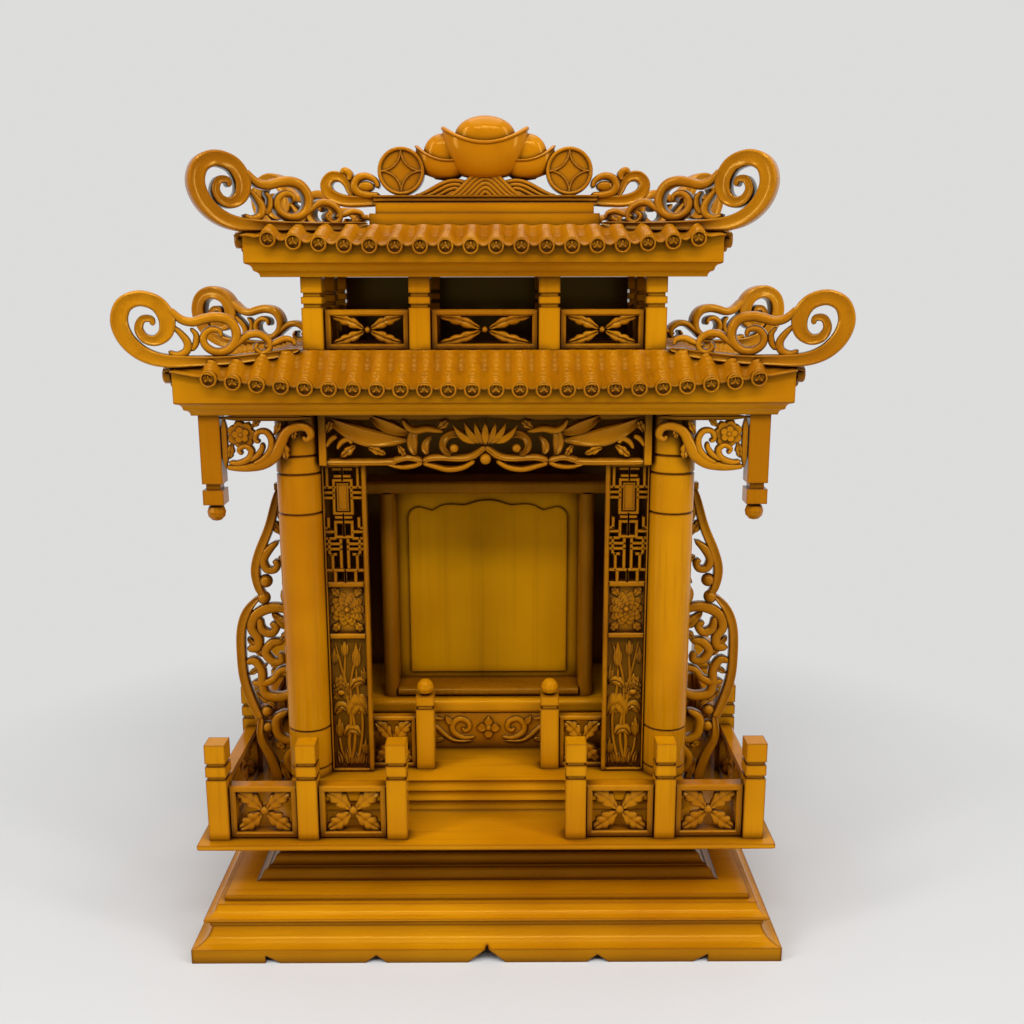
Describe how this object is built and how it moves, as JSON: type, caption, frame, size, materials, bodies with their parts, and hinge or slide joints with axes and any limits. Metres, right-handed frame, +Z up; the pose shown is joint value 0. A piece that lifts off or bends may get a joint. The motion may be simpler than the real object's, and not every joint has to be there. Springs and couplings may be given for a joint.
{
  "type": "carved wooden ancestral tablet shrine",
  "caption": "Table-top wooden shrine: stepped base, railed deck, columned tablet room with carved screens, two tiled hip roofs with corner volutes and an ingot crest.",
  "frame": {"origin": "middle of the base's footprint, on the surface the shrine stands on", "axes": "+X to the viewer's right along the front, the front faces -Y, +Z up"},
  "size_m": [0.563, 0.3, 0.6725],
  "materials": {
    "honey_lacquer": "glossy lacquer over honey-coloured wood",
    "amber_carving": "glossy amber lacquer, darker in the carved recesses",
    "roof_lacquer": "glossy golden lacquer on the roofs and eaves",
    "tablet_lacquer": "satin golden lacquer with a vertical sheen",
    "room_lacquer": "dark brown lacquer inside the room"
  },
  "bodies": {
    "root": {"altar_apron": "amber_carving", "altar_shelf": "honey_lacquer", "balustrade_panels_back": "amber_carving", "balustrade_panels_front": "amber_carving", "balustrade_panels_left": "amber_carving", "balustrade_panels_right": "amber_carving", "balustrade_posts_back": "honey_lacquer", "balustrade_posts_front": "honey_lacquer", "balustrade_posts_side": "honey_lacquer", "base_plinth_back": "honey_lacquer", "base_plinth_front": "honey_lacquer", "base_plinth_left": "honey_lacquer", "base_plinth_right": "honey_lacquer", "base_step": "honey_lacquer", "carved_header": "amber_carving", "column_left": "honey_lacquer", "column_right": "honey_lacquer", "corner_brackets": "amber_carving", "deck_board": "honey_lacquer", "ingot_middle": "amber_carving", "ingots_side": "amber_carving", "lower_eave_moulding": "roof_lacquer", "lower_roof": "roof_lacquer", "lower_volutes_back": "amber_carving", "lower_volutes_front": "amber_carving", "pendants": "honey_lacquer", "platform": "honey_lacquer", "ridge_base": "roof_lacquer", "ridge_coins": "amber_carving", "ridge_crest": "amber_carving", "room_wall_back": "room_lacquer", "room_wall_left": "room_lacquer", "room_wall_right": "room_lacquer", "screen_left": "amber_carving", "screen_right": "amber_carving", "storey_panels_back": "amber_carving", "storey_panels_front": "amber_carving", "storey_panels_side": "amber_carving", "storey_posts": "honey_lacquer", "tablet_board": "tablet_lacquer", "tablet_rail_panels": "amber_carving", "tablet_rail_posts": "honey_lacquer", "tablet_rails": "honey_lacquer", "tablet_stiles": "honey_lacquer", "upper_eave_moulding": "roof_lacquer", "upper_roof": "roof_lacquer", "upper_volutes_back": "amber_carving", "upper_volutes_front": "amber_carving", "waist_moulding": "honey_lacquer", "wing_left": "amber_carving", "wing_right": "amber_carving"}
  },
  "joints": []
}
